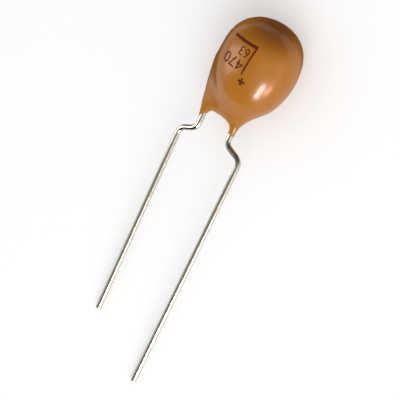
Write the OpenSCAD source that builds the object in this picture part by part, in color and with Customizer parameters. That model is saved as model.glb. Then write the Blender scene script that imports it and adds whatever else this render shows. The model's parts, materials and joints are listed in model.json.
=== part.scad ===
// Radial-lead, resin-dipped bead tantalum capacitor, lying on its back as it comes to rest.
//
// Everything is designed upright first: the leads run down -Y from the tips of the resin legs at
// y = 0, the bead stands above them, X runs across the leads (anode at +X) and +Z is the marked
// face. laid() then lays the finished part on the plane that touches the bead and both lead ends.
// All sizes are in millimetres.

/* [Leads] */
// Distance between the leads where they leave their kinks, centre to centre
pitch = 6.55; // [5.3:0.05:7.7]
// Angle by which each lead's straight part turns in towards the other
toe_in = 0.5; // [0:0.1:1]
// Diameter of the lead wire
lead_d = 0.5; // [0.4:0.01:0.64]
// Straight length of the anode (positive) lead below its kink
anode_straight = 21.8; // [10:0.05:30]
// Straight length of the cathode (negative) lead below its kink
cathode_straight = 17.85; // [8:0.05:26]
// How far the anode lead's kink carries it outwards
anode_jog = 1.82; // [1.3:0.02:2.2]
// Length of the anode lead between the resin and its kink
anode_exit = 0.32; // [0.1:0.02:1.2]
// Length of the cathode lead between the resin and its kink
cathode_exit = 0.54; // [0.1:0.02:1.2]
// Steepest angle of the anode lead's kink
anode_slant = 70; // [40:1:75]
// Steepest angle of the cathode lead's kink
cathode_slant = 64; // [40:1:75]
// Bend radius of the kinks, at the middle of the wire
bend_r = 0.8; // [0.5:0.05:0.9]
// How much thicker the wire is round its bends, where bending ovals it
bend_swell = 0.01; // [0.005:0.005:0.02]

/* [Pellet] */
// Diameter of the sintered pellet
pellet_d = 4.75; // [3.8:0.05:5.7]
// Length of the sintered pellet
pellet_l = 4.4; // [3.6:0.05:5.4]
// Height of the pellet's lower face above the tips of the resin legs
pellet_rise = 4.35; // [3.9:0.05:5.3]
// Chamfer on the pellet's edges
pellet_chamfer = 0.2; // [0.1:0.05:0.4]

/* [Riser wire and washer] */
// Diameter of the tantalum riser wire
riser_d = 0.5; // [0.4:0.01:0.6]
// How deep the riser wire is pressed into the pellet
riser_depth = 3; // [2:0.1:3.5]
// Overlap of the riser wire and the anode lead, along the leads, where they are welded
weld_l = 2; // [1.6:0.1:2.4]
// How deep the weld sinks the two wires into each other
weld_sink = 0.02; // [0.01:0.005:0.04]
// Diameter of the washer on the riser wire
washer_d = 1.5; // [1.2:0.05:1.8]
// Thickness of the washer
washer_t = 0.25; // [0.2:0.05:0.4]
// Space between the washer and the top of the anode lead
washer_gap = 0.3; // [0.2:0.05:0.5]

/* [Coats] */
// Thickness of the manganese dioxide coat
manganese_t = 0.05; // [0.03:0.01:0.08]
// Thickness of the graphite coat
graphite_t = 0.03; // [0.02:0.01:0.06]
// Thickness of the silver coat
silver_t = 0.04; // [0.03:0.01:0.08]
// Thickness of the solder coat
solder_t = 0.1; // [0.06:0.01:0.2]
// How much further from the washer each later coat stops on the lower face
brim_step = 0.25; // [0.15:0.05:0.3]
// Solder between the silver coat and the cathode lead
solder_gap = 0.03; // [0.02:0.01:0.06]
// Solder around the cathode lead
solder_collar = 0.07; // [0.05:0.01:0.12]
// Width of the solder's fillet between the pellet and the cathode lead, at the pellet
solder_fillet = 1.2; // [0.9:0.1:1.5]
// Length of the pellet that is left bare of the cathode lead, at its top
cathode_stop = 0.9; // [0.6:0.1:1.5]

/* [Resin bead] */
// Resin at the pellet's sides, across the leads
resin_side = 0.9; // [0.75:0.05:1.4]
// Resin over the pellet on the marked face and on the back
resin_face = 0.8; // [0.65:0.05:1.3]
// Resin over the pellet's top
resin_crown = 1.55; // [1.1:0.05:2.2]
// Resin from the pellet's lower coats to the underside of the bead proper
resin_base = 2.15; // [1.8:0.05:2.6]
// How far the widest level lies below the pellet's middle
waist_sag = 0.05; // [0:0.05:0.6]
// Squareness of the crown's outline (2 is an ellipse)
crown_power = 2.4; // [2:0.05:3]
// Squareness of the base's outline
base_power = 2; // [2:0.05:2.4]

/* [Resin legs] */
// Resin on the wire at the tip of each leg
tip_resin = 0.04; // [0.03:0.01:0.08]
// How much lower the cathode leg's edge reaches on the outside of the lead than on the inside
cathode_drop = 0.6; // [0:0.05:0.65]
// How much lower the anode leg's edge reaches on the outside of the lead than on the inside
anode_drop = 0.1; // [0:0.05:0.65]
// Growth of the cathode leg's radius with height
cathode_flare = 0.1; // [0.08:0.01:0.2]
// How far the cathode leg leans outwards with height
cathode_lean = 0.1; // [0:0.01:0.1]
// Growth of the anode leg's radius with height
anode_flare = 0.03; // [0.02:0.01:0.1]
// Height at which the legs stop growing
flare_h = 3; // [2.5:0.1:4.5]
// Height up to which the resin drapes over the leads, outside the bead's own outline
drape_h = 5.2; // [4.6:0.1:6]
// Height of the middle of the resin web between the legs
web_y = 1.85; // [1.8:0.05:2.2]
// Radius of the web's edge
web_r = 0.75; // [0.6:0.05:0.8]
// How far the web's ends lie inside the leads
web_inset = 0.7; // [0.5:0.05:0.9]
// Blend between the web and the cathode leg
cathode_blend = 0.9; // [0.2:0.05:1.1]
// Blend between the web and the anode leg
anode_blend = 0.8; // [0.6:0.05:1.1]
// Blend between the legs, with their web, and the bead
bead_blend = 1.5; // [1.2:0.05:1.7]

/* [Hidden] */
$fn = 48;

// How the bead's surface is cut into rings and points
leg_rings = 4;
fan_rings = 42;
ring_points = 38;
crown_focus = 0.5; // share by which the rings draw together over the crown
halvings = 16;
far = 14;          // a distance that is outside the bead from anywhere inside it
arch_room = 0.3;   // how far the skin's pivot lies below the web
sliver = 0.1;      // how far a cutting tool reaches past what it cuts
bite = 0.05;       // how far a straight wire reaches into the bend next to it
shortest_slant = 0.1;

lead_r = lead_d / 2;
riser_r = riser_d / 2;
pellet_r = pellet_d / 2;
inner_coats_t = manganese_t + graphite_t + silver_t;
coats_t = inner_coats_t + solder_t;

// The coats from the pellet outwards: [thickness of what lies under it, its own thickness, how many
// steps short of the washer it stops on the lower face]
coats = [
    [0, manganese_t, 0],
    [manganese_t, graphite_t, 1],
    [manganese_t + graphite_t, silver_t, 2],
    [inner_coats_t, solder_t, 3]
];

// Places across the leads: the anode lead sets the riser, the pellet hangs on the riser, and the
// cathode lead lies along the pellet's side
anode_x = pitch / 2 - anode_jog;
weld_spacing = riser_r + lead_r - weld_sink;
pellet_x = anode_x - weld_spacing;
cathode_x = pellet_x - pellet_r - inner_coats_t - solder_gap - lead_r;
cathode_jog = pitch / 2 + cathode_x;
weld_face_x = pellet_x + (pow(weld_spacing, 2) + pow(riser_r, 2) - pow(lead_r, 2)) / (2 * weld_spacing);

// Heights
pellet_top = pellet_rise + pellet_l;
anode_top = pellet_rise - washer_t - washer_gap;
riser_bottom = anode_top - weld_l;
riser_top = pellet_rise + riser_depth;
cathode_top = pellet_top - cathode_stop;

// A kink that steps out by jog: the angle of its slanted stretch, that stretch's length, and how
// far down the whole kink reaches. A small jog takes a flatter angle, which keeps the stretch.
function kink(jog, steepest) =
    let (
        across = bend_r * (1 + cos(toe_in)),
        reach = norm([2 * bend_r, shortest_slant]),
        flatter = acos(max((across - jog) / reach, -1)) - atan(shortest_slant / (2 * bend_r)),
        angle = min(steepest, flatter),
        slanted = (jog - across + 2 * bend_r * cos(angle)) / sin(angle)
    )
    [angle, slanted, bend_r * (2 * sin(angle) + sin(toe_in)) + slanted * cos(angle)];

anode_kink = kink(anode_jog, anode_slant);
cathode_kink = kink(cathode_jog, cathode_slant);

// The bead proper, which wraps the coated pellet
bead_half_w = pellet_r + coats_t + resin_side;
bead_half_t = pellet_r + coats_t + resin_face;
waist_y = pellet_rise + pellet_l / 2 - waist_sag;
crown_h = pellet_top + coats_t + resin_crown - waist_y;
base_h = waist_y - (pellet_rise - coats_t - resin_base);
tip_r = lead_r + tip_resin;

// --- The resin's surface -----------------------------------------------------------------------
// The skin is where resin_gap() is zero: an egg round the pellet, a flared leg down each lead and
// a web between the legs, all blended. It is negative in the resin.

function clamp(v, low, high) = min(max(v, low), high);

function blend_min(a, b, reach) =
    let (near = max(reach - abs(a - b), 0) / reach) min(a, b) - near * near * reach / 4;

function egg_gap(p) =
    let (
        rise = p.y - waist_y,
        power = rise > 0 ? crown_power : base_power,
        out = norm([(p.x - pellet_x) / bead_half_w, p.z / bead_half_t]),
        up = abs(rise) / (rise > 0 ? crown_h : base_h)
    )
    (pow(pow(out, power) + pow(up, power), 1 / power) - 1) * min(bead_half_w, bead_half_t);

function leg_gap(p, x, flare, lean) =
    let (up = clamp(p.y, 0, flare_h))
    norm([p.x - x - lean * up, p.z, max(p.y - drape_h, 0)]) - tip_r - flare * up;

function web_gap(p) =
    norm(p - [clamp(p.x, cathode_x + web_inset, anode_x - web_inset), web_y, 0]) - web_r;

function resin_gap(p) =
    let (
        cathode_leg = leg_gap(p, cathode_x, cathode_flare, -cathode_lean),
        with_web = blend_min(web_gap(p), cathode_leg, cathode_blend),
        legs = blend_min(with_web, leg_gap(p, anode_x, anode_flare, 0), anode_blend)
    )
    blend_min(egg_gap(p), legs, bead_blend);

// The distance from p along the unit vector way to the skin, between one distance that is in the
// resin and one that is out of it
function skin_at(p, way, inside, outside, left = halvings) =
    let (middle = (inside + outside) / 2)
    left == 0 ? middle
    : resin_gap(p + middle * way) < 0 ? skin_at(p, way, middle, outside, left - 1)
    : skin_at(p, way, inside, middle, left - 1);

// The skin is swept along a horseshoe: up the cathode leg, over in a fan of planes that turn about
// a line under the arch, and down the anode leg. Each ring lies in a plane that holds Z. The lowest
// ring of a leg slants like its edge, and the next ones level out.
pivot = [(cathode_x + anode_x) / 2, web_y - web_r - arch_room, 0];
fan_r = (anode_x - cathode_x) / 2;

// A ring round a middle that lies reach out from the pivot's line. That line is clear of the resin,
// so no ray is followed past it.
function ring(middle, way, reach) = [
    for (i = [0 : ring_points - 1])
        let (
            turn = 360 * i / ring_points,
            ray = cos(turn) * way + sin(turn) * [0, 0, 1],
            limit = cos(turn) < 0 ? min(far, -reach / cos(turn)) : far
        )
        middle + skin_at(middle, ray, 0, limit) * ray
];

// A ring on a leg, share of the way from its slanted tip to the fan. The edge's low side stays
// outside.
function leg_ring(x, side, drop, share) =
    let (
        outer_y = pivot.y * share,
        inner_y = drop + (pivot.y - drop) * share,
        angle = atan((inner_y - outer_y) / (2 * tip_r))
    )
    ring([x, (outer_y + inner_y) / 2, 0], [side * cos(angle), -sin(angle), 0], fan_r);

function fan_ring(angle) =
    let (
        way = [-cos(angle), sin(angle), 0],
        reach = (skin_at(pivot, way, fan_r, 0) + skin_at(pivot, way, fan_r, far)) / 2
    )
    ring(pivot + reach * way, way, reach);

function fan_angle(share) = 180 * share + crown_focus * sin(360 * share) * 90 / PI;

bead_rings = concat(
    [for (i = [0 : leg_rings - 1]) leg_ring(cathode_x, -1, cathode_drop, i / leg_rings)],
    [for (i = [0 : fan_rings]) fan_ring(fan_angle(i / fan_rings))],
    [for (i = [leg_rings - 1 : -1 : 0]) leg_ring(anode_x, 1, anode_drop, i / leg_rings)]
);
bead_points = [for (r = bead_rings) each r];

module bead_form() {
    last = len(bead_rings) - 1;
    cathode_tip = len(bead_points);
    anode_tip = cathode_tip + 1;
    function at(r, i) = r * ring_points + i % ring_points;
    polyhedron(
        points = concat(bead_points, [[cathode_x, cathode_drop / 2, 0], [anode_x, anode_drop / 2, 0]]),
        faces = concat(
            [for (i = [0 : ring_points - 1]) [cathode_tip, at(0, i), at(0, i + 1)]],
            [
                for (r = [0 : last - 1], i = [0 : ring_points - 1])
                    each [
                        [at(r, i), at(r + 1, i), at(r + 1, i + 1)],
                        [at(r, i), at(r + 1, i + 1), at(r, i + 1)]
                    ]
            ],
            [for (i = [0 : ring_points - 1]) [anode_tip, at(last, i + 1), at(last, i)]]
        )
    );
}

// --- How the part lies -------------------------------------------------------------------------
// A lead's knee is where its straight part leaves the kink. The floor touches both lead ends from
// below and the bead's lowest point. In the upright frame its normal is [lean * slope, slope, 1],
// where lean makes it touch both lead ends.
anode_knee = [pitch / 2, -anode_exit - anode_kink[2]];
cathode_knee = [-pitch / 2, -cathode_exit - cathode_kink[2]];
anode_end = anode_knee - anode_straight * [sin(toe_in), cos(toe_in)];
cathode_end = cathode_knee + cathode_straight * [sin(toe_in), -cos(toe_in)];
lean = (cathode_end.y - anode_end.y) / (anode_end.x - cathode_end.x);
slope = max([
    for (p = bead_points) (-lead_r - p.z) / (lean * (p.x - cathode_end.x) + p.y - cathode_end.y)
]);
roll = -atan(lean * slope);
tilt = atan(slope / norm([lean * slope, 1]));

function laid_point(p) =
    let (x = p.x * cos(roll) + p.z * sin(roll), z = p.z * cos(roll) - p.x * sin(roll))
    [x, p.y * cos(tilt) - z * sin(tilt), p.y * sin(tilt) + z * cos(tilt)];

// The box round the laid part puts the origin under its middle
laid_bead = [for (p = bead_points) laid_point(p)];
laid_anode_end = laid_point([anode_end.x, anode_end.y, 0]);
bend_wire_r = lead_r + bend_swell / 2;
low_x = min(min([for (p = laid_bead) p.x]), -pitch / 2 * cos(roll) - bend_wire_r);
high_x = max(max([for (p = laid_bead) p.x]), pitch / 2 * cos(roll) + bend_wire_r);
low_y = laid_anode_end.y - lead_r * sin(tilt);
high_y = max([for (p = laid_bead) p.y]);
low_z = min([for (p = laid_bead) p.z]);

module laid() {
    translate([-(low_x + high_x) / 2, -(low_y + high_y) / 2, -low_z])
        rotate([tilt, 0, 0]) rotate([0, roll, 0]) children();
}

// --- Wires -------------------------------------------------------------------------------------
// A round wire along Y, from one height to another
module wire(x, low, high, r) {
    translate([x, low, 0]) rotate([-90, 0, 0]) cylinder(h = high - low, r = r);
}

// A bend that leaves the origin going down and turns towards +X
module bend(angle) {
    translate([bend_r, 0, 0]) rotate([0, 0, 180])
        rotate_extrude(angle = angle) translate([bend_r, 0]) circle(r = bend_wire_r);
}

// A lead from its top inside the bead to its cut end. It leaves the resin at exit, steps out in its
// kink, and runs straight from its knee.
module lead(x, side, top, exit, kink, knee, straight) {
    angle = kink[0];
    slanted = kink[1];
    translate([x, 0, 0]) mirror([side < 0 ? 1 : 0, 0, 0]) {
        wire(0, -exit - bite, top, lead_r);
        translate([0, -exit, 0]) bend(angle);
        translate([bend_r * (1 - cos(angle)), -exit - bend_r * sin(angle), 0])
            rotate([0, 0, angle]) wire(0, -slanted - bite, bite, lead_r);
    }
    translate([knee.x, knee.y, 0]) mirror([side < 0 ? 1 : 0, 0, 0]) {
        rotate([0, 0, 180 - toe_in]) bend(angle + toe_in);
        rotate([0, 0, -toe_in]) wire(0, -straight, bite, lead_r);
    }
}

module cathode_wire() {
    lead(cathode_x, -1, cathode_top, cathode_exit, cathode_kink, cathode_knee, cathode_straight);
}

module anode_wire() {
    lead(anode_x, 1, anode_top, anode_exit, anode_kink, anode_knee, anode_straight);
}

// Everything on one side of the flat where the riser wire and the anode lead are welded
module weld_side(side) {
    translate([side > 0 ? weld_face_x : weld_face_x - lead_d, riser_bottom, -lead_d])
        cube([lead_d, weld_l + sliver, 2 * lead_d]);
}

// --- The pellet and its coats ------------------------------------------------------------------
// The outline of the pellet, grown on every side by t
module pellet_outline(t) {
    r = pellet_r + t;
    low = pellet_rise - t;
    high = pellet_top + t;
    chamfer = pellet_chamfer + t * (2 - sqrt(2));
    polygon([
        [0, low], [r - chamfer, low], [r, low + chamfer],
        [r, high - chamfer], [r - chamfer, high], [0, high]
    ]);
}

// Turns an outline about the pellet's axis
module turned() {
    translate([pellet_x, 0, 0]) rotate([-90, 0, 0]) rotate_extrude() children();
}

// The space that a coat leaves round the washer on the lower face
module coat_mouth(coat) {
    translate([0, pellet_rise - coat[0] - coat[1] - sliver])
        square([washer_d / 2 + coat[2] * brim_step, coat[1] + sliver]);
}

// The half outline of one coat
module coat_outline(coat) {
    difference() {
        pellet_outline(coat[0] + coat[1]);
        pellet_outline(coat[0]);
        coat_mouth(coat);
    }
}

module washer_outline() {
    translate([0, pellet_rise - washer_t]) square([washer_d / 2, washer_t]);
}

// The solder that closes round the cathode lead, with a fillet between it and the pellet's side
module solder_bridge() {
    bottom = pellet_rise + pellet_chamfer;
    silver_x = pellet_x - sqrt(pow(pellet_r + inner_coats_t, 2) - pow(solder_fillet / 2, 2));
    foot_x = silver_x + sliver;
    wire(cathode_x, bottom, cathode_top + solder_collar, lead_r + solder_collar);
    translate([0, bottom, 0]) rotate([-90, 0, 0]) linear_extrude(cathode_top - bottom)
        polygon([
            [cathode_x, -lead_r], [foot_x, -solder_fillet / 2],
            [foot_x, solder_fillet / 2], [cathode_x, lead_r]
        ]);
}

// --- Sub-parts ---------------------------------------------------------------------------------
module resin_coat() {
    color("#AE6E2A") laid() difference() {
        bead_form();
        turned() {
            difference() {
                pellet_outline(coats_t);
                for (coat = coats)
                    coat_mouth(coat);
            }
            washer_outline();
        }
        solder_bridge();
        wire(cathode_x, -sliver, cathode_top, lead_r);
        wire(anode_x, -sliver, anode_top, lead_r);
        wire(pellet_x, riser_bottom, pellet_rise, riser_r);
    }
}

module anode_lead() {
    color("#C9C9C4") laid() difference() {
        anode_wire();
        weld_side(-1);
    }
}

module cathode_lead() {
    color("#C9C9C4") laid() cathode_wire();
}

module tantalum_pellet() {
    color("#4A4B50") laid() difference() {
        turned() pellet_outline(0);
        wire(pellet_x, pellet_rise - sliver, riser_top, riser_r);
    }
}

module riser_wire() {
    color("#7C7F86") laid() difference() {
        wire(pellet_x, riser_bottom, riser_top, riser_r);
        weld_side(1);
    }
}

module ptfe_washer() {
    color("#F2F2EE") laid() difference() {
        turned() washer_outline();
        wire(pellet_x, pellet_rise - washer_t - sliver, pellet_rise + sliver, riser_r);
    }
}

module manganese_dioxide_coat() {
    color("#2B2624") laid() turned() coat_outline(coats[0]);
}

module graphite_coat() {
    color("#1C1C1E") laid() turned() coat_outline(coats[1]);
}

module silver_coat() {
    color("#B4B3AE") laid() turned() coat_outline(coats[2]);
}

module solder_coat() {
    color("#9A9CA0") laid() difference() {
        union() {
            turned() coat_outline(coats[3]);
            solder_bridge();
        }
        turned() pellet_outline(inner_coats_t);
        wire(cathode_x, pellet_rise - far, cathode_top, lead_r);
    }
}

resin_coat();
anode_lead();
cathode_lead();
tantalum_pellet();
riser_wire();
ptfe_washer();
manganese_dioxide_coat();
graphite_coat();
silver_coat();
solder_coat();
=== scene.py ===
# %% [markdown]
# # A dipped tantalum capacitor
#
# The real thing is a small pellet of sintered tantalum on two tinned wires, dipped in epoxy
# until a glossy bead has grown round it. The CAD model holds its pieces at their real size.
# This notebook loads them as a fixed frame and gives each one the surface that the eye sees.

# %% Load the imported model
import json
import math

import bmesh
import bpy
from mathutils import Matrix, Vector
from mathutils.bvhtree import BVHTree


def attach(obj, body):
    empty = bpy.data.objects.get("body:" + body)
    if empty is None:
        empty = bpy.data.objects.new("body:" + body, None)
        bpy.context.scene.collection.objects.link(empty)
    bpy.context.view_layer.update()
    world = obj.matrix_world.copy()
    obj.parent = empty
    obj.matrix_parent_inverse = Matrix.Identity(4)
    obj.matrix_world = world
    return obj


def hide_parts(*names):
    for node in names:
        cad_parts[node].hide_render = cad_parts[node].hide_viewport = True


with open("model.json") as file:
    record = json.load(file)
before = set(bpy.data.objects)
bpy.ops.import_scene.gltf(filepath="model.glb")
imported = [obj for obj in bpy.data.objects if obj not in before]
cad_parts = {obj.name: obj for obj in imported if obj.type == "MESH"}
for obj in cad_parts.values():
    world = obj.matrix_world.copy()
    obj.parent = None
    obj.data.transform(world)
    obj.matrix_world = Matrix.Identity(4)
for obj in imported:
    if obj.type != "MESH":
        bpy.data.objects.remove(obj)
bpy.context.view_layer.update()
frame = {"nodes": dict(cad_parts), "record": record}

MM = 0.001
nodes = frame["nodes"]
print("nodes:", ", ".join(sorted(nodes)))

# %% [markdown]
# ## The capacitor's own axes
#
# The part lies on the floor, tipped onto its bead and its two lead ends, so nothing on it runs
# along the scene's axes. The record holds where the two straight wires run. From them come
# axes that belong to the capacitor: X from the cathode lead to the anode lead, Y up the leads
# to the crown, and Z out of the marked face. Its origin is between the two leg tips, level
# with the anode's.

# %% Axes from the two lead pins
ANODE_KNEE = 2.11        # mm from the anode's leg tip down to where its wire runs straight
pins = {mount["name"]: mount for mount in frame["record"]["mounts"]}


def pin(name):
    """Where a straight wire leaves its kink, in metres, and the way up along it."""
    down = Vector(pins[name]["axis"]).normalized()
    half = pins[name]["dims"]["length_mm"] * MM / 2
    return Vector(pins[name]["pos_m"]) - down * half, -down


anode_top, anode_up = pin("anode_pin")
cathode_top, cathode_up = pin("cathode_pin")
upward = (anode_up + cathode_up).normalized()
apart = anode_top - cathode_top
across = (apart - upward * apart.dot(upward)).normalized()
outward = across.cross(upward)
origin = anode_top - across * apart.dot(across) / 2 + upward * ANODE_KNEE * MM
own_axes = Matrix((across, upward, outward)).transposed().to_4x4()
place = Matrix.Translation(origin) @ own_axes @ Matrix.Scale(MM, 4)
toe_in = math.degrees(anode_up.angle(cathode_up)) / 2
print("leads at the knees, mm apart:", round(apart.dot(across) / MM, 3))
print("toe-in in degrees:", round(toe_in, 2), "origin in mm:", [round(c / MM, 3) for c in origin])

# %% [markdown]
# ## Camera
#
# The camera looks down at the marked face from 150 mm, a little from the anode side and the
# crown, through a long lens, so that the bead and the lead ends are drawn at nearly the same
# scale. It is turned until the leads run down to the left. `to_track_quat` gives a camera
# that stands upright, and one more turn about its own line of sight rolls it.

# %% Camera
AIM = Vector((0.957, 0.330, 2.0)) * MM
AZIMUTH, ELEVATION, ROLL = 118.535, 66.241, -88.773    # degrees
DISTANCE = 0.14973                                     # metres from AIM
LENS, SENSOR = 156.33, 36                              # mm


def toward_azimuth(azimuth, elevation):
    """A unit vector. Azimuth 0 looks from -Y, and 90 from +X; both angles are in degrees."""
    turn, rise = math.radians(azimuth), math.radians(elevation)
    return Vector((
        math.sin(turn) * math.cos(rise),
        -math.cos(turn) * math.cos(rise),
        math.sin(rise),
    ))


camera = bpy.data.objects.new("camera", bpy.data.cameras.new("camera"))
bpy.context.scene.collection.objects.link(camera)
bpy.context.scene.camera = camera
to_camera = toward_azimuth(AZIMUTH, ELEVATION)
camera.location = AIM + to_camera * DISTANCE
upright = to_camera.to_track_quat("Z", "Y").to_matrix().to_4x4()
rolled = Matrix.Rotation(math.radians(ROLL), 4, "Z")
camera.matrix_world = Matrix.Translation(camera.location) @ upright @ rolled
camera.data.lens = LENS
camera.data.sensor_width = SENSOR
camera.data.clip_start = 0.001
camera.data.clip_end = 10
print("camera at mm:", [round(c / MM, 1) for c in camera.location])

# %% [markdown]
# ## Nodes and colours
#
# Every material below is a small tree of nodes. One function adds a node, sets it and links
# it. Colours are written as on a paint chart, in sRGB, and the shader wants linear light.

# %% Helpers for colours and nodes
def linear(chart):
    """An sRGB colour such as "AD6E28" as linear red, green, blue and alpha."""
    parts = [int(chart[i:i + 2], 16) / 255 for i in (0, 2, 4)]
    return [c / 12.92 if c <= 0.04045 else ((c + 0.055) / 1.055) ** 2.4 for c in parts] + [1]


def add_node(tree, kind, inputs=None, **settings):
    """Adds a node. Each input is a value, or another node's output to link."""
    node = tree.nodes.new(kind)
    for name, value in settings.items():
        setattr(node, name, value)
    for name, value in (inputs or {}).items():
        if isinstance(value, bpy.types.NodeSocket):
            tree.links.new(value, node.inputs[name])
        else:
            node.inputs[name].default_value = value
    return node


def new_material(name):
    """An empty material, and the tree that its nodes go into."""
    material = bpy.data.materials.new(name)
    material.use_nodes = True
    material.node_tree.nodes.clear()
    return material, material.node_tree


print("mid grey 808080 is linear", round(linear("808080")[0], 3))


# %% [markdown]
# ## Studio
#
# Matt surfaces and glossy ones need different rooms. A matt one only gathers light, so one
# even level does. A glossy one mirrors the walls, and a curved one mirrors all of them at
# once: bright tinned wire is drawn by a dark line between two pale ones, and epoxy keeps its
# full colour only where what it mirrors is dark. So the world asks what kind of ray has
# arrived. Glossy rays see pale walls low down, brightest on the anode's side, and darkness
# overhead, beyond the crown and beyond the lead ends.

# %% Room light
bpy.context.scene.view_settings.view_transform = "Standard"
room = bpy.data.worlds.new("room")
bpy.context.scene.world = room
room.use_nodes = True
tree = room.node_tree
tree.nodes.clear()
AMBIENT = 0.80           # what the matt surfaces get from every side
OVERHEAD = 0.28          # what the glossy ones mirror from above
LOW_WALLS = 0.95         # and from the walls, low down
direction = add_node(tree, "ShaderNodeTexCoord").outputs["Generated"]


def toward(way, start, full, low, high):
    """A level that goes from low to high as a direction nears a way.

    start and full are cosines of the angle from the way: 0 is square to it, 1 is along it."""
    near = add_node(tree, "ShaderNodeVectorMath", {0: direction, 1: way}, operation="DOT_PRODUCT")
    return add_node(tree, "ShaderNodeMapRange",
                    {"Value": near.outputs["Value"], "From Min": start, "From Max": full,
                     "To Min": low, "To Max": high}, interpolation_type="SMOOTHSTEP").outputs[0]


def product(first, *others):
    """Multiplies levels, with one Math node for each pair."""
    for other in others:
        node = add_node(tree, "ShaderNodeMath", {0: first, 1: other}, operation="MULTIPLY")
        first = node.outputs[0]
    return first


lobes = product(
    toward((0, 0, -1), -0.45, -0.05, OVERHEAD, LOW_WALLS),
    toward((-1.0, 0.0, 0.0), 0.3, 0.9, 1.0, 0.7),             # the cathode's side is greyer
    toward((0.83, -0.20, 0.52), 0.55, 0.95, 1.0, 2.6),        # the anode's side is bright
    toward((-0.14, -0.10, 0.985), 0.93, 0.99, 1.0, 0.15),     # a dark line along each wire
    toward((0.0, 1.0, 0.0), 0.05, 0.55, 1.0, 0.12),           # beyond the crown
    toward((0.0, -1.0, 0.0), 0.38, 0.62, 1.0, 0.15),          # beyond the lead ends
)
pale_wall = toward((-0.84, -0.35, 0.41), 0.80, 0.97, 0.0, 0.45)    # the wires' cathode side
mirrored = add_node(tree, "ShaderNodeMath", {0: pale_wall, 1: lobes}, operation="ADD")
ray = add_node(tree, "ShaderNodeLightPath")
level = add_node(tree, "ShaderNodeMix",
                 {"Factor": ray.outputs["Is Glossy Ray"], "A": AMBIENT,
                  "B": mirrored.outputs[0]})
lighting = add_node(tree, "ShaderNodeBackground", {"Strength": level.outputs["Result"]})
backdrop = add_node(tree, "ShaderNodeBackground", {"Strength": 1.0})
shown = add_node(tree, "ShaderNodeMixShader",
                 {"Fac": ray.outputs["Is Camera Ray"], 1: lighting.outputs[0],
                  2: backdrop.outputs[0]})
add_node(tree, "ShaderNodeOutputWorld", {"Surface": shown.outputs[0]})
print("world nodes:", len(tree.nodes))

# %% [markdown]
# ## Lamps
#
# Four area lamps face the bead. A polarised one adds light and shape but shows in no gloss,
# as a filter over the lens would have it. The other three do the opposite: they show in the
# gloss and add no light. Two stand by the anode's side and draw the streak and the rosy spot
# beside it. The third stands close to the bead, so that its pale sheen lies over the print
# and the wires further off don't mirror it.

# %% Lamps
BEAD = place @ Vector((-0.2, 6.0, 0.0))      # the middle of the bead
FAR, NEAR = 0.30, 0.03                       # metres from it to a lamp


def lamp(name, azimuth, elevation, width, height, radiance, colour, lean=0, distance=FAR):
    """A rectangle of light that faces the bead. Its sides and its lean are in degrees."""
    light = bpy.data.lights.new(name, "AREA")
    light.shape = "RECTANGLE"
    light.size = 2 * distance * math.tan(math.radians(width / 2))
    light.size_y = 2 * distance * math.tan(math.radians(height / 2))
    light.energy = radiance * math.pi * light.size * light.size_y
    light.color = linear(colour)[:3]
    stand = bpy.data.objects.new(name, light)
    bpy.context.scene.collection.objects.link(stand)
    away = toward_azimuth(azimuth, elevation)
    stand.location = BEAD + away * distance
    facing = away.to_track_quat("Z", "Y").to_matrix()
    stand.rotation_euler = (facing @ Matrix.Rotation(math.radians(lean), 3, "Z")).to_euler()
    print(name, "of", round(light.energy, 4), "W")
    return stand


lamp("polarised_lamp", 55, 40, 50, 50, 1.9, "FFFFFF").visible_glossy = False
for stand in (
    lamp("streak_window", 47, 21, 24, 12, 30, "FFFAF4", lean=25),
    lamp("rose_window", 59, 6, 16, 14, 15, "FFD0C4"),
    lamp("sheen_window", -71, 39, 36, 44, 3.4, "FFEFEA", distance=NEAR),
):
    stand.visible_diffuse = False

# %% [markdown]
# ## Table
#
# The table is a sheet of matt white paper. A little glow that only the lens sees lifts it to
# white and leaves the shadow in. Under and beyond the bead the paper turns dark for glossy
# rays: the bead would mirror it at a grazing angle all round its flanks, and a white veil
# would lie over the colour there. The wires keep the white paper at their sides.

# %% Table
FLOOR_HALF = 0.6                             # metres
GLOW = 0.20                                  # lifts the paper to white for the lens alone
SHADE = 0.95                                 # how dark the bead mirrors the paper near it
SHADE_INNER, SHADE_OUTER = 9 * MM, 12 * MM   # where that ends, across the part
SHADE_LONG = 0.75                            # along the part it reaches further, by 1 / 0.75
SHADE_MIDDLE = BEAD + Vector((-4.5, 7.0, 0)) * MM    # past the crown, at the cathode's side

shape = bmesh.new()
bmesh.ops.create_grid(shape, x_segments=1, y_segments=1, size=FLOOR_HALF)
floor_mesh = bpy.data.meshes.new("floor")
shape.to_mesh(floor_mesh)
shape.free()
floor = bpy.data.objects.new("floor", floor_mesh)
bpy.context.scene.collection.objects.link(floor)

paper, tree = new_material("white_paper")
matt = add_node(tree, "ShaderNodeBsdfDiffuse", {"Color": linear("F2F2F2")})
glow = add_node(tree, "ShaderNodeEmission", {"Color": (1, 1, 1, 1), "Strength": GLOW})
dark = add_node(tree, "ShaderNodeEmission", {"Color": (0, 0, 0, 1)})
ray = add_node(tree, "ShaderNodeLightPath")
lifted = add_node(tree, "ShaderNodeMixShader",
                  {"Fac": ray.outputs["Is Camera Ray"], 1: dark.outputs[0], 2: glow.outputs[0]})
plain = add_node(tree, "ShaderNodeAddShader", {0: matt.outputs[0], 1: lifted.outputs[0]})
point = add_node(tree, "ShaderNodeTexCoord").outputs["Object"]
oval = add_node(tree, "ShaderNodeMapping",
                {"Vector": point, "Scale": (1, SHADE_LONG, 1),
                 "Location": (-SHADE_MIDDLE.x, -SHADE_MIDDLE.y * SHADE_LONG, 0)})
reach = add_node(tree, "ShaderNodeVectorMath", {0: oval.outputs["Vector"]}, operation="LENGTH")
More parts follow.
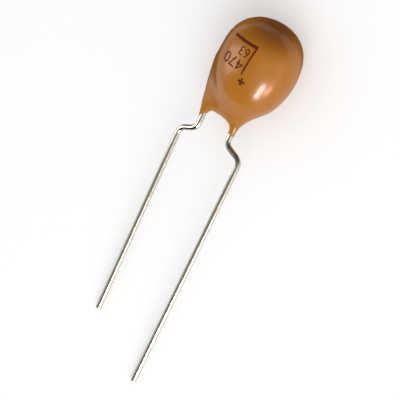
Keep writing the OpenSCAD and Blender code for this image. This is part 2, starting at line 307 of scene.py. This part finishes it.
shade = add_node(tree, "ShaderNodeMapRange",
                 {"Value": reach.outputs["Value"], "From Min": SHADE_OUTER,
                  "From Max": SHADE_INNER, "To Min": 0.0, "To Max": SHADE},
                 interpolation_type="SMOOTHSTEP")
mirrored_shade = product(shade.outputs[0], ray.outputs["Is Glossy Ray"])
table = add_node(tree, "ShaderNodeMixShader",
                 {"Fac": mirrored_shade, 1: plain.outputs[0], 2: dark.outputs[0]})
add_node(tree, "ShaderNodeOutputMaterial", {"Surface": table.outputs[0]})
floor_mesh.materials.append(paper)
print("table", 2 * FLOOR_HALF, "m wide")

# %% [markdown]
# ## Epoxy
#
# Dipped epoxy is a clear resin filled with ochre pigment. It cures with a wet gloss that
# ripples slightly, and light sinks a little way into it. The pigment settles in faint clouds
# a few millimetres wide. Over the crown the colour is painted darker and browner: painted
# shade, for the side of the bead that faces away from the light. The eye reads the gloss in
# two parts: a broad soft one from the filled resin and a tighter one from the clear skin on
# top, which is the shader's coat.

# %% Epoxy material
CROWN = place @ Vector((1.8, 10.3, 1.4))     # the middle of the painted shade over the crown
PAINTED_SHADE_NEAR, PAINTED_SHADE_FAR = 0.4, 3.5             # mm from it
# how far the painted shade darkens the colour at most
PAINTED_SHADE_MOST = 0.72
CLOUDS = 0.3                                 # per mm: clouds of pigment about 3 mm wide
RIPPLES = 0.9                                # per mm: ripples about 1 mm long
RIPPLE_HIGH = 0.05                           # mm
SOAK = 0.6                                   # mm that light sinks into the resin


def epoxy_resin():
    """Filled resin. It gives the eye a warm, slightly soft colour under a rippling gloss."""
    material, tree = new_material("dipped_epoxy_glossy")
    point = add_node(tree, "ShaderNodeTexCoord").outputs["Object"]
    in_mm = add_node(tree, "ShaderNodeMapping", {"Vector": point, "Scale": (1 / MM,) * 3})
    in_mm = in_mm.outputs["Vector"]
    clouds = add_node(tree, "ShaderNodeTexNoise",
                      {"Vector": in_mm, "Scale": CLOUDS, "Detail": 3})
    body = add_node(tree, "ShaderNodeMix",
                    {"Factor": clouds.outputs["Fac"], "A": linear("AC6710"),
                     "B": linear("BC771D")}, data_type="RGBA")
    from_crown = add_node(tree, "ShaderNodeVectorMath",
                          {0: in_mm, 1: tuple(CROWN / MM)}, operation="DISTANCE")
    # painted shade: the colour turns brown toward the crown, the side that faces away from the
    # light
    painted_shade = add_node(tree, "ShaderNodeMapRange",
                       {"Value": from_crown.outputs["Value"], "From Min": PAINTED_SHADE_FAR,
                        "From Max": PAINTED_SHADE_NEAR, "To Min": 0.0, "To Max": PAINTED_SHADE_MOST},
                       interpolation_type="SMOOTHSTEP")
    colour = add_node(tree, "ShaderNodeMix",
                      {"Factor": painted_shade.outputs["Result"], "A": body.outputs["Result"],
                       "B": linear("561F05")}, data_type="RGBA")
    ripple = add_node(tree, "ShaderNodeTexNoise",
                      {"Vector": in_mm, "Scale": RIPPLES, "Detail": 2})
    relief = add_node(tree, "ShaderNodeBump",
                      {"Height": ripple.outputs["Fac"], "Strength": 0.35,
                       "Distance": RIPPLE_HIGH * MM})
    shader = add_node(tree, "ShaderNodeBsdfPrincipled",
                      {"Base Color": colour.outputs["Result"], "Roughness": 0.28, "IOR": 1.55,
                       "Subsurface Weight": 0.12, "Subsurface Radius": (1.0, 0.45, 0.15),
                       "Subsurface Scale": SOAK * MM, "Specular IOR Level": 0.25,
                       "Coat Weight": 0.3, "Coat Roughness": 0.16,
                       "Normal": relief.outputs["Normal"]})
    add_node(tree, "ShaderNodeOutputMaterial", {"Surface": shader.outputs[0]})
    return material


epoxy = epoxy_resin()
print(epoxy.name, "nodes:", len(epoxy.node_tree.nodes))

# %% [markdown]
# ## The bead's skin
#
# The CAD bead has the right size and place, but a wet coat has no facets and no sharp creases.
# Its skin is made from a copy of the CAD node. Only the outside is wanted, so the walls of
# the cavity round the pellet are taken away, and the rims left at the leg tips are closed.

# %% Helpers for shapes and pieces
def cad_shape(name):
    """A merged copy of a CAD node, ready for editing."""
    shape = bmesh.new()
    shape.from_mesh(nodes[name].data)
    bmesh.ops.remove_doubles(shape, verts=shape.verts, dist=0.001 * MM)
    return shape


def add_piece(name, shape, material, stands_for=None):
    """Makes a smooth-shaded piece of a shape, and hangs it under the root body."""
    mesh = bpy.data.meshes.new(name)
    shape.to_mesh(mesh)
    shape.free()
    mesh.shade_smooth()
    mesh.materials.append(material)
    piece = bpy.data.objects.new(name, mesh)
    bpy.context.scene.collection.objects.link(piece)
    if stands_for:
        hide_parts(stands_for)
    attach(piece, "root")
    print(name, len(mesh.polygons), "faces")
    return piece


# %% Outside of the resin
WALL_GAP = 0.03          # mm: a resin face nearer than this to another node is an inner wall

inner = [BVHTree.FromBMesh(cad_shape(name)) for name in nodes if name != "resin_coat"]
skin = cad_shape("resin_coat")
cavity = [
    face for face in skin.faces
    if any(other.find_nearest(face.calc_center_median(), WALL_GAP * MM)[0] for other in inner)
]
bmesh.ops.delete(skin, geom=cavity, context="FACES")
loose = [vert for vert in skin.verts if not vert.link_faces]
bmesh.ops.delete(skin, geom=loose, context="VERTS")
rims = [edge for edge in skin.edges if edge.is_boundary]
bmesh.ops.edgeloop_fill(skin, edges=rims)
bmesh.ops.recalc_face_normals(skin, faces=skin.faces)
print("skin faces:", len(skin.faces), "rim edges closed:", len(rims))

# %% [markdown]
# ### Surface tension
#
# Wet resin pulls itself even before it sets. The long CAD faces can't bend, so a voxel remesh
# first turns the skin into a net of small squares. Plain smoothing then rounds it, in bands
# between two heights that reach less and less far, so that no step shows where one ends. At
# the leg tips and the crown there is little of it, because it would shrink them. The crease
# along each leg needs more, and gets it only where the skin is hollow.

# %% Even net
NET = 0.09               # mm


def evened(shape, size):
    """Turns a skin into an even net of small squares, size mm wide."""
    bmesh.ops.scale(shape, vec=(1 / MM,) * 3, verts=shape.verts)
    mesh = bpy.data.meshes.new("net")
    shape.to_mesh(mesh)
    net = bpy.data.objects.new("net", mesh)
    bpy.context.scene.collection.objects.link(net)
    remesh = net.modifiers.new("remesh", "REMESH")
    remesh.mode = "VOXEL"
    remesh.voxel_size = size
    graph = bpy.context.evaluated_depsgraph_get()
    shape.clear()
    shape.from_mesh(net.evaluated_get(graph).to_mesh())
    bpy.data.objects.remove(net)
    bmesh.ops.scale(shape, vec=(MM,) * 3, verts=shape.verts)


evened(skin, NET)
print("net:", len(skin.faces), "faces of", NET, "mm")

# %% Smoothing
SETTLING = (             # mm above the leg tips: from, to; and how many passes
    (0.9, 12.0, 4),
    (1.4, 8.8, 16),
    (1.7, 8.4, 16),
    (2.0, 8.0, 16),
    (2.3, 7.6, 16),
)
CREASES = (2.2, 8.5)     # mm above the leg tips
ROUNDS, PASSES = 30, 20  # the hollows are found anew for each round of passes
to_own = place.inverted()


def between(low, high):
    """The points of the skin between two heights in mm."""
    return [vert for vert in skin.verts if low < (to_own @ vert.co).y < high]


def smooth(verts, passes):
    """Moves each point half of the way to the middle of its neighbours, again and again."""
    for _ in range(passes):
        bmesh.ops.smooth_vert(skin, verts=verts, factor=0.5, use_axis_x=True, use_axis_y=True,
                              use_axis_z=True)


def hollow(vert):
    """Whether the middle of a point's neighbours lies outside the skin."""
    near = [edge.other_vert(vert).co for edge in vert.link_edges]
    middle = sum(near, Vector()) / len(near)
    return (middle - vert.co).dot(vert.normal) > 0


for low, high, passes in SETTLING:
    smooth(between(low, high), passes)
for _ in range(ROUNDS):
    skin.normal_update()
    smooth([vert for vert in between(*CREASES) if hollow(vert)], PASSES)
print("smoothed; lowest point in mm:", round(min(v.co.z for v in skin.verts) / MM, 3))

# %% [markdown]
# ### Weight
#
# Smoothing draws the skin in a little, and the drop hangs to the anode's side as it cures. So
# the bead is pushed outward by about a tenth of a millimetre, less on its two faces and low
# down on the cathode's side, and not at all at the leg tips and the top of the crown. It also
# sags low down on the anode's side.

# %% Fuller low down
FULLER = 0.10            # mm all round
DEEPER = 0.4             # share of that toward the front and the back
LEG_TIPS = (0.9, 2.5)    # mm: none of it below the first height, and all above the second
CROWN_TOP = (10.3, 8.7)  # mm: none above the first, and all below the second
CATHODE = (4.8, 6.4)     # mm: at the cathode's side only LEAST of it below the first
LEAST = 0.3
SAG, SAG_AT = 0.14, 3.1  # mm more on the anode's side, most at this height
SAG_REACH = 1.1          # mm up and down from there
HALF_WIDTH = 2.5         # mm from the middle to where the push is whole


def faded(height, none, full):
    """0 at one height and 1 at the other, even between them and level beyond."""
    return max(0.0, min(1.0, (height - none) / (full - none)))


for vert in skin.verts:
    own = to_own @ vert.co
    fuller = FULLER * faded(own.y, *LEG_TIPS) * faded(own.y, *CROWN_TOP)
    if own.x > 0:
        hang = math.exp(-((own.y - SAG_AT) / SAG_REACH) ** 2)
        own.x += SAG * hang * min(1.0, own.x / HALF_WIDTH)
    else:
        fuller *= LEAST + (1 - LEAST) * faded(own.y, *CATHODE)
    push = Vector((own.x, 0, own.z)) / HALF_WIDTH
    push /= max(1.0, push.length)
    vert.co = place @ (own + Vector((push.x, 0, push.z * DEEPER)) * fuller)
print("lowest point of the skin in mm:", round(min(v.co.z for v in skin.verts) / MM, 3))
bead = add_piece("epoxy_bead", skin, epoxy, "resin_coat")

# %% [markdown]
# ## The print
#
# The marking is pad-printed: a soft silicone pad lifts brown ink from a plate and rolls it
# over the bead, so the ink follows every bulge. Each shape is drawn flat, cut into small
# squares so that it can bend, and lowered onto the bead.

# %% Ink material
def marking_ink():
    """Thin ink without gloss. It mirrors almost nothing, and is paler where it went on thin."""
    material, tree = new_material("pad_printed_ink_brown")
    point = add_node(tree, "ShaderNodeTexCoord").outputs["Object"]
    thin = add_node(tree, "ShaderNodeTexNoise",
                    {"Vector": point, "Scale": 4 / MM, "Detail": 2, "Roughness": 0.6})
    colour = add_node(tree, "ShaderNodeMix",
                      {"Factor": thin.outputs["Fac"], "A": linear("5E1C00"),
                       "B": linear("742E04")}, data_type="RGBA")
    shader = add_node(tree, "ShaderNodeBsdfPrincipled",
                      {"Base Color": colour.outputs["Result"], "Roughness": 0.4,
                       "Specular IOR Level": 0.12})
    add_node(tree, "ShaderNodeOutputMaterial", {"Surface": shader.outputs[0]})
    return material


ink = marking_ink()
print(ink.name, "nodes:", len(ink.node_tree.nodes))

# %% Flat shapes of the print
def bar(width, height):
    """A rectangle, with its sides in mm."""
    shape = bmesh.new()
    bmesh.ops.create_grid(shape, x_segments=1, y_segments=1, size=0.5)
    bmesh.ops.scale(shape, vec=(width, height, 1), verts=shape.verts)
    return shape


def plus(size):
    """A grid of three by three squares without its corners, size mm wide."""
    shape = bmesh.new()
    bmesh.ops.create_grid(shape, x_segments=3, y_segments=3, size=size / 2)
    corners = [f for f in shape.faces if min(map(abs, f.calc_center_median()[:2])) > size / 6]
    bmesh.ops.delete(shape, geom=corners, context="FACES")
    return shape


def number(text, width, height):
    """Plain digits from the built-in font, stretched to a width and a height in mm."""
    curve = bpy.data.curves.new("number", "FONT")
    curve.body = text
    letters = bpy.data.objects.new("number", curve)
    bpy.context.scene.collection.objects.link(letters)
    bpy.context.view_layer.update()
    shape = bmesh.new()
    mesh = bpy.data.meshes.new_from_object(letters)
    shape.from_mesh(mesh)
    bpy.data.objects.remove(letters)
    xs = [v.co.x for v in shape.verts]
    ys = [v.co.y for v in shape.verts]
    centre = Vector((min(xs) + max(xs), min(ys) + max(ys), 0)) / 2
    bmesh.ops.translate(shape, vec=-centre, verts=shape.verts)
    stretch = (width / (max(xs) - min(xs)), height / (max(ys) - min(ys)), 1)
    bmesh.ops.scale(shape, vec=stretch, verts=shape.verts)
    return shape


large, small = number("470", 2.1, 0.95), number("63", 0.95, 0.8)
print("digits:", len(large.faces), "and", len(small.faces), "flat faces")

# %% Print on the bead
INK_STEP = 0.12          # mm between the cuts that let a flat shape bend
INK_HIGH = 0.012         # mm that the ink stands on the resin
PRINT_DROP = 8.0         # mm in front of the bead from which the shapes are lowered
WELD = 0.002             # mm: points nearer than this become one
bead_now = BVHTree.FromObject(bead, bpy.context.evaluated_depsgraph_get())


def stamp(name, shape, x, y, tilt):
    """Turns a flat shape upside down, as the print is, and lowers it onto the bead.

    x and y say where, in mm on the capacitor's own axes, and tilt is in degrees."""
    turn = Matrix.Rotation(math.radians(-tilt), 3, "Z")
    bmesh.ops.rotate(shape, matrix=turn, verts=shape.verts)
    reach = max(max(abs(v.co.x), abs(v.co.y)) for v in shape.verts)
    cuts = math.ceil(reach / INK_STEP)
    for side in (Vector((1, 0, 0)), Vector((0, 1, 0))):
        for step in range(-cuts, cuts + 1):
            everything = shape.verts[:] + shape.edges[:] + shape.faces[:]
            bmesh.ops.bisect_plane(shape, geom=everything, plane_co=side * step * INK_STEP,
                                   plane_no=side)
    bmesh.ops.remove_doubles(shape, verts=shape.verts, dist=WELD)
    for vert in shape.verts:
        start = place @ Vector((x - vert.co.x, y - vert.co.y, PRINT_DROP))
        hit, normal, _, _ = bead_now.ray_cast(start, -outward)
        vert.co = hit + normal * INK_HIGH * MM
    bmesh.ops.recalc_face_normals(shape, faces=shape.faces)
    if sum(f.normal.dot(outward) for f in shape.faces) < 0:
        bmesh.ops.reverse_faces(shape, faces=shape.faces)
    piece = add_piece(name, shape, ink)
    film = piece.modifiers.new("film", "SOLIDIFY")
    film.thickness = 2 * INK_HIGH * MM
    film.offset = -1


stamp("print_bar", bar(2.60, 0.26), 0.50, 8.42, 1.5)
stamp("print_line", bar(0.16, 2.5), 1.63, 7.10, 4.7)
stamp("print_plus", plus(0.62), 1.74, 5.28, 3)
stamp("print_number_large", large, 0.30, 6.50, 3)
stamp("print_number_small", small, 0.92, 7.62, 3)

# %% [markdown]
# ## Tinned leads
#
# Each lead is copper wire that was drawn through a die, tinned, and kinked in a forming tool.
# The CAD leads already have the right runs and bends and are smooth enough, so they keep
# their shape, and only get the finish.

# %% Tin material
LINES_ACROSS, LINES_ALONG = 12, 0.6          # per mm: fine lines that run along the wire
LINE_DEPTH = 0.01                            # mm


def tinned_wire():
    """Bright tin. It mirrors the room as pale and dark stripes, which the die's fine lines
    blur a little and the duller places blur more."""
    material, tree = new_material("bright_tinned_wire")
    point = add_node(tree, "ShaderNodeTexCoord").outputs["Object"]
    stretched = add_node(tree, "ShaderNodeMapping",
                         {"Vector": point, "Scale": (LINES_ACROSS / MM, LINES_ALONG / MM,
                                                     LINES_ACROSS / MM)})
    draw = add_node(tree, "ShaderNodeTexNoise",
                    {"Vector": stretched.outputs["Vector"], "Scale": 1, "Detail": 3})
    tone = add_node(tree, "ShaderNodeMix",
                    {"Factor": draw.outputs["Fac"], "A": linear("B9B4A4"),
                     "B": linear("E2DFD2")}, data_type="RGBA")
    rough = add_node(tree, "ShaderNodeMapRange",
                     {"Value": draw.outputs["Fac"], "To Min": 0.08, "To Max": 0.22})
    lines = add_node(tree, "ShaderNodeBump",
                     {"Height": draw.outputs["Fac"], "Strength": 0.25,
                      "Distance": LINE_DEPTH * MM})
    shader = add_node(tree, "ShaderNodeBsdfPrincipled",
                      {"Base Color": tone.outputs["Result"], "Metallic": 1.0,
                       "Roughness": rough.outputs["Result"], "Normal": lines.outputs["Normal"]})
    add_node(tree, "ShaderNodeOutputMaterial", {"Surface": shader.outputs[0]})
    return material


def dress(name, material):
    """Gives a CAD node its material."""
    nodes[name].material_slots[0].material = material
    print(name, "->", material.name)


tin = tinned_wire()
dress("anode_lead", tin)
dress("cathode_lead", tin)

# %% [markdown]
# ## What the bead hides
#
# The pieces inside are never seen from outside, but each is finished as the real one, for
# whoever takes the part apart.

# %% Inner materials
def grainy(name, dark, light, grain, roughness, metallic, depth):
    """A fine-grained surface in two tones. The grain and its depth are in mm."""
    material, tree = new_material(name)
    point = add_node(tree, "ShaderNodeTexCoord").outputs["Object"]
    noise = add_node(tree, "ShaderNodeTexNoise",
                     {"Vector": point, "Scale": 1 / (grain * MM), "Detail": 4})
    tone = add_node(tree, "ShaderNodeMix",
                    {"Factor": noise.outputs["Fac"], "A": linear(dark), "B": linear(light)},
                    data_type="RGBA")
    relief = add_node(tree, "ShaderNodeBump",
                      {"Height": noise.outputs["Fac"], "Strength": 0.6, "Distance": depth * MM})
    shader = add_node(tree, "ShaderNodeBsdfPrincipled",
                      {"Base Color": tone.outputs["Result"], "Roughness": roughness,
                       "Metallic": metallic, "Normal": relief.outputs["Normal"]})
    add_node(tree, "ShaderNodeOutputMaterial", {"Surface": shader.outputs[0]})
    return material


# What each gives the eye stands above it. In a row: the material, its dark and its light
# tone, the grain, the roughness, how metallic it is, and the depth.
FINISHES = {
    # dull dark grey, as dry as fired clay, because light is lost in the pores
    "tantalum_pellet":
        ("sintered_tantalum_porous", "3C3D42", "5A5B60", 0.06, 0.7, 0.8, 0.02),
    # blue-grey metal with a soft shine
    "riser_wire":
        ("drawn_tantalum_wire", "63666E", "80838A", 0.05, 0.35, 1.0, 0.005),
    # waxy white
    "ptfe_washer":
        ("skived_ptfe_white", "E4E4E0", "F2F2EE", 0.2, 0.5, 0.0, 0.01),
    # brown-black, as matt as soot
    "manganese_dioxide_coat":
        ("manganese_dioxide_black", "17130F", "2A231C", 0.08, 0.8, 0.0, 0.02),
    # slate grey with the faint sheen of pencil lead
    "graphite_coat":
        ("graphite_dipped", "202224", "3A3C40", 0.1, 0.45, 0.3, 0.01),
    # pale grey with the fine glint of flakes
    "silver_coat":
        ("silver_paint_matt", "A8A8A4", "CFCFCB", 0.05, 0.5, 0.9, 0.008),
    # bright metal with frosty patches as large as grains of sand
    "solder_coat":
        ("tin_lead_solder_frozen", "8E9092", "B9BABC", 0.6, 0.3, 1.0, 0.02),
}
for name, row in FINISHES.items():
    dress(name, grainy(*row))
